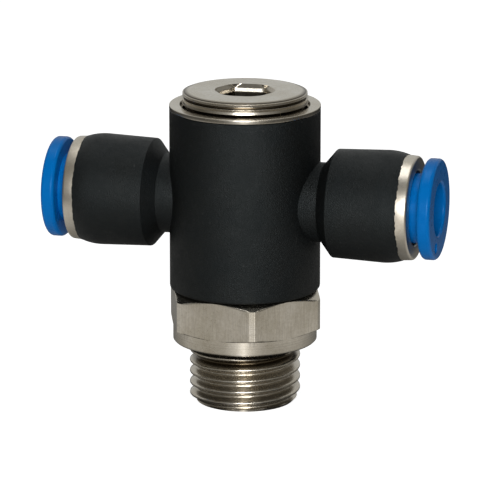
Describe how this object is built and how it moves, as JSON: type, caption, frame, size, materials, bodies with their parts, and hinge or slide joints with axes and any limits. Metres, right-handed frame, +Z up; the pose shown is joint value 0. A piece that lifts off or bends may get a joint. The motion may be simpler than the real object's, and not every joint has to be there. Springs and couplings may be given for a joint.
{
  "type": "push-in tee fitting",
  "caption": "Swivelling push-in tee fitting: hollow plated bolt with hexagon and threaded stud, turning black body with a push-in tube port at each end and blue release rings.",
  "frame": {"origin": "centre of the sealing face under the round collar, on the bolt's axis", "axes": "+Z up along the bolt's axis, away from the threaded stud; +X along the right arm; the arms lie along X"},
  "size_m": [0.047, 0.0182, 0.0376],
  "materials": {
    "nickel_plate": "satin nickel plate on brass",
    "black_plastic": "moulded, fine matt",
    "blue_plastic": "moulded, satin",
    "black_rubber": "moulded rubber",
    "natural_plastic": "moulded",
    "spring_steel": "stamped stainless sheet"
  },
  "bodies": {
    "bolt": {"hollow_bolt": "nickel_plate", "ring_nut": "nickel_plate", "stud_seal": "black_rubber", "lower_swivel_seal": "black_rubber", "upper_swivel_seal": "black_rubber"},
    "tee": {"tee_body": "black_plastic", "left_tube_seal": "black_rubber", "left_spacer_ring": "natural_plastic", "left_grab_ring": "spring_steel", "left_retaining_sleeve": "nickel_plate", "right_tube_seal": "black_rubber", "right_spacer_ring": "natural_plastic", "right_grab_ring": "spring_steel", "right_retaining_sleeve": "nickel_plate"},
    "left_release": {"left_release_ring": "blue_plastic"},
    "right_release": {"right_release_ring": "blue_plastic"}
  },
  "joints": [
    {"name": "body_swivel", "type": "hinge", "parent": "bolt", "child": "tee", "pos_m": [0, 0, 0.01715], "axis": [0, 0, 1], "continuous": true},
    {"name": "left_release_press", "type": "slide", "parent": "tee", "child": "left_release", "axis": [1, 0, 0], "range_m": [0, 0.00105], "stiffness_N_per_m": 1000},
    {"name": "right_release_press", "type": "slide", "parent": "tee", "child": "right_release", "axis": [-1, 0, 0], "range_m": [0, 0.00105], "stiffness_N_per_m": 1000}
  ]
}
